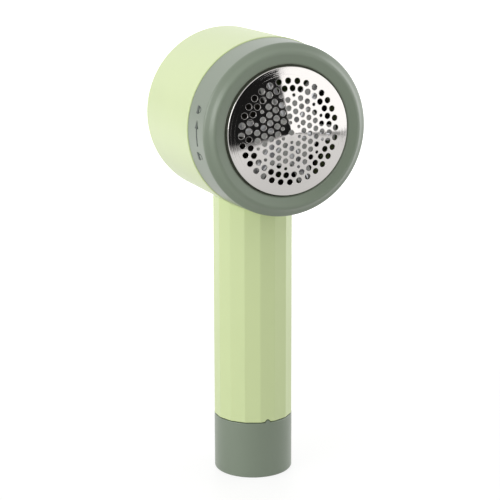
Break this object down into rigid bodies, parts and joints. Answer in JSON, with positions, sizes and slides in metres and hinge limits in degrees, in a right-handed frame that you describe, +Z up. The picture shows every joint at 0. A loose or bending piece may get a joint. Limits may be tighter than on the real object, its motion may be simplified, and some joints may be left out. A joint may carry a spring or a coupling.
{
  "type": "fabric shaver",
  "caption": "Handheld cordless fabric shaver: a drum head with a twist-off foil guard, a spinning cutter and a pull-out lint bin, on an upright faceted handle.",
  "frame": {"origin": "centre of the end cap's flat base, on the handle's axis", "axes": "+Z up along the handle; the foil faces -Y; +X is to the right seen from the front"},
  "size_m": [0.0684, 0.0707, 0.1805],
  "materials": {
    "sage_plastic": "satin moulded",
    "lime_plastic": "satin moulded",
    "foil_steel": "polished, spun",
    "blade_steel": "ground",
    "dark_steel": "stamped laminations",
    "can_steel": "zinc plated",
    "screw_steel": "zinc plated",
    "socket_steel": "folded sheet",
    "nickel_tab": "rolled strip",
    "copper_wire": "enamelled wire",
    "bronze": "sintered",
    "brass_tab": "stamped",
    "magnet": "pressed ferrite",
    "carbon": "pressed carbon",
    "dark_plastic": "moulded",
    "pale_plastic": "moulded",
    "wire_jacket": "extruded jacket",
    "seal_rubber": "moulded silicone",
    "cell_wrap": "shrink wrap over a steel can",
    "board_laminate": "solder mask",
    "chip_plastic": "moulded",
    "lamp_plastic": "moulded",
    "lens_plastic": "clear moulded"
  },
  "bodies": {
    "frame": {"head_housing": "lime_plastic", "motor_carrier": "dark_plastic", "motor_cover": "dark_plastic", "carrier_screws": "screw_steel", "motor_can": "can_steel", "motor_end_cap": "dark_plastic", "motor_magnets": "magnet", "motor_bearings": "bronze", "motor_brushes": "carbon", "motor_terminals": "brass_tab", "motor_screws": "screw_steel", "motor_leads": "wire_jacket", "handle_tube": "lime_plastic", "head_screws": "screw_steel", "end_cap": "sage_plastic", "cap_screws": "screw_steel", "battery_sled": "pale_plastic", "battery_cell": "cell_wrap", "battery_tabs": "nickel_tab", "circuit_board": "board_laminate", "board_parts": "chip_plastic", "board_screws": "screw_steel", "usb_socket": "socket_steel", "tact_switch": "chip_plastic", "status_led": "lamp_plastic", "led_lens": "lens_plastic"},
    "guard": {"guard_ring": "sage_plastic", "foil": "foil_steel", "foil_retainer": "dark_plastic"},
    "rotor": {"cutter_hub": "pale_plastic", "cutter_blades": "blade_steel", "motor_shaft": "blade_steel", "motor_armature": "dark_steel", "armature_windings": "copper_wire", "commutator": "copper_wire"},
    "bin": {"lint_bin": "lime_plastic", "bin_seal": "seal_rubber"},
    "button": {"power_button": "sage_plastic", "switch_plunger": "pale_plastic"}
  },
  "joints": [
    {"name": "cutter_spin", "type": "hinge", "parent": "frame", "child": "rotor", "pos_m": [0, 0, 0.1463], "axis": [0, -1, 0], "continuous": true},
    {"name": "guard_twist", "type": "hinge", "parent": "frame", "child": "guard", "pos_m": [0, 0, 0.1463], "axis": [0, -1, 0], "range_deg": [0, 25]},
    {"name": "bin_pull", "type": "slide", "parent": "frame", "child": "bin", "axis": [0, 1, 0], "range_m": [0, 0.045]},
    {"name": "button_press", "type": "slide", "parent": "frame", "child": "button", "axis": [0, -1, 0], "range_m": [0, 0.0005], "stiffness_N_per_m": 2000}
  ]
}
